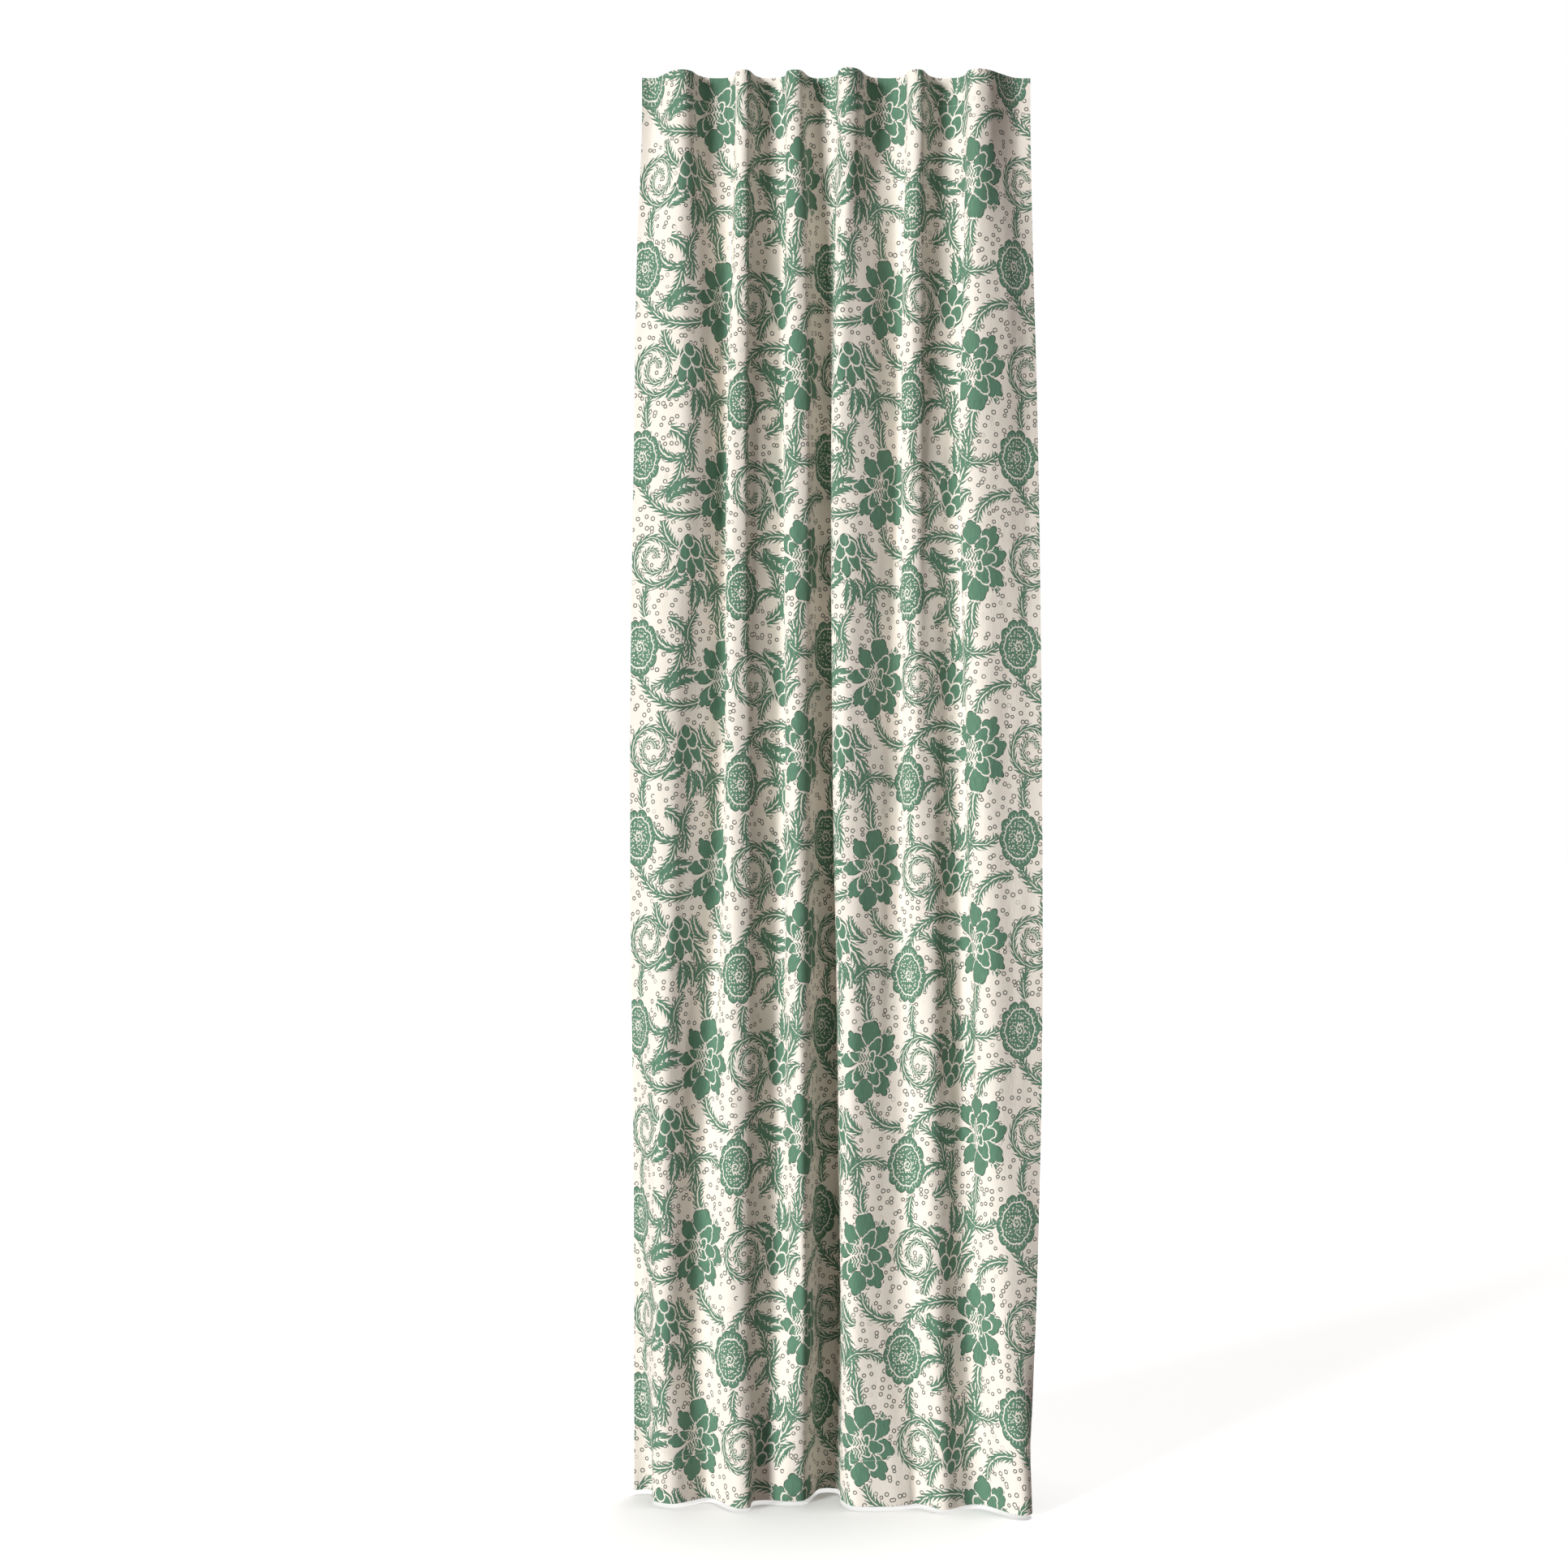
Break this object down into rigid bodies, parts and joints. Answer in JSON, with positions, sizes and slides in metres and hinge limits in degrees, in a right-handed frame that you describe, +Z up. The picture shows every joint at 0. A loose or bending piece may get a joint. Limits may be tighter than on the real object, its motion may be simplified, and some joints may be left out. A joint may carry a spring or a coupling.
{
  "type": "curtain panel",
  "caption": "Long printed cotton curtain panel in soft uneven folds, with turned hems and a pocketed heading tape that hangs on moulded hooks.",
  "frame": {"origin": "centre of the first hook's seat, at the left end of the heading seen from the front", "axes": "+X along the rail from the first hook towards the last, +Z up, the front of the cloth faces -Y"},
  "size_m": [0.693, 0.1228, 2.4],
  "materials": {
    "printed_cotton": "matte slub cotton, cream ground with a green floral print",
    "tape_weave": "matte woven tape",
    "label_weave": "smooth woven satin label, blank",
    "hook_nylon": "moulded nylon"
  },
  "bodies": {
    "curtain": {"cloth_panel": "printed_cotton", "heading_turnover": "printed_cotton", "bottom_hem": "printed_cotton", "side_hem_left": "printed_cotton", "side_hem_right": "printed_cotton", "heading_tape": "tape_weave", "care_label": "label_weave", "tape_pocket_1": "tape_weave", "hook_1": "hook_nylon"},
    "carrier_2": {"tape_pocket_2": "tape_weave"},
    "hook_2_body": {"hook_2": "hook_nylon"},
    "carrier_3": {"tape_pocket_3": "tape_weave"},
    "hook_3_body": {"hook_3": "hook_nylon"},
    "carrier_4": {"tape_pocket_4": "tape_weave"},
    "hook_4_body": {"hook_4": "hook_nylon"},
    "carrier_5": {"tape_pocket_5": "tape_weave"},
    "hook_5_body": {"hook_5": "hook_nylon"},
    "carrier_6": {"tape_pocket_6": "tape_weave"},
    "hook_6_body": {"hook_6": "hook_nylon"},
    "carrier_7": {"tape_pocket_7": "tape_weave"},
    "hook_7_body": {"hook_7": "hook_nylon"}
  },
  "joints": [
    {"name": "gather", "type": "slide", "parent": "curtain", "child": "carrier_7", "axis": [1, 0, 0], "range_m": [-0.38, 0], "deforming": ["cloth_panel", "heading_turnover", "bottom_hem", "side_hem_left", "side_hem_right", "heading_tape", "care_label"]},
    {"name": "gather_2", "type": "slide", "parent": "curtain", "child": "carrier_2", "axis": [1, 0, 0], "range_m": [-0.0688, 0.0005]},
    {"name": "gather_3", "type": "slide", "parent": "curtain", "child": "carrier_3", "axis": [1, 0, 0], "range_m": [-0.1201, 0.0005]},
    {"name": "gather_4", "type": "slide", "parent": "curtain", "child": "carrier_4", "axis": [1, 0, 0], "range_m": [-0.1715, 0.0005]},
    {"name": "gather_5", "type": "slide", "parent": "curtain", "child": "carrier_5", "axis": [1, 0, 0], "range_m": [-0.2409, 0.0005]},
    {"name": "gather_6", "type": "slide", "parent": "curtain", "child": "carrier_6", "axis": [1, 0, 0], "range_m": [-0.3014, 0.0005]},
    {"name": "hook_2_tip", "type": "hinge", "parent": "carrier_2", "child": "hook_2_body", "pos_m": [0.113, -0.0095, -0.016], "axis": [1, 0, 0], "range_deg": [-6, 6]},
    {"name": "hook_3_tip", "type": "hinge", "parent": "carrier_3", "child": "hook_3_body", "pos_m": [0.198, -0.0095, -0.016], "axis": [1, 0, 0], "range_deg": [-6, 6]},
    {"name": "hook_4_tip", "type": "hinge", "parent": "carrier_4", "child": "hook_4_body", "pos_m": [0.283, -0.0095, -0.016], "axis": [1, 0, 0], "range_deg": [-6, 6]},
    {"name": "hook_5_tip", "type": "hinge", "parent": "carrier_5", "child": "hook_5_body", "pos_m": [0.398, -0.0095, -0.016], "axis": [1, 0, 0], "range_deg": [-6, 6]},
    {"name": "hook_6_tip", "type": "hinge", "parent": "carrier_6", "child": "hook_6_body", "pos_m": [0.498, -0.0095, -0.016], "axis": [1, 0, 0], "range_deg": [-6, 6]},
    {"name": "hook_7_tip", "type": "hinge", "parent": "carrier_7", "child": "hook_7_body", "pos_m": [0.629, -0.0095, -0.016], "axis": [1, 0, 0], "range_deg": [-6, 6]}
  ],
  "couplings": [
    {"joint": "gather_2", "follows": "gather", "ratio": 0.17965},
    {"joint": "gather_3", "follows": "gather", "ratio": 0.31478},
    {"joint": "gather_4", "follows": "gather", "ratio": 0.44992},
    {"joint": "gather_5", "follows": "gather", "ratio": 0.63275},
    {"joint": "gather_6", "follows": "gather", "ratio": 0.79173}
  ]
}
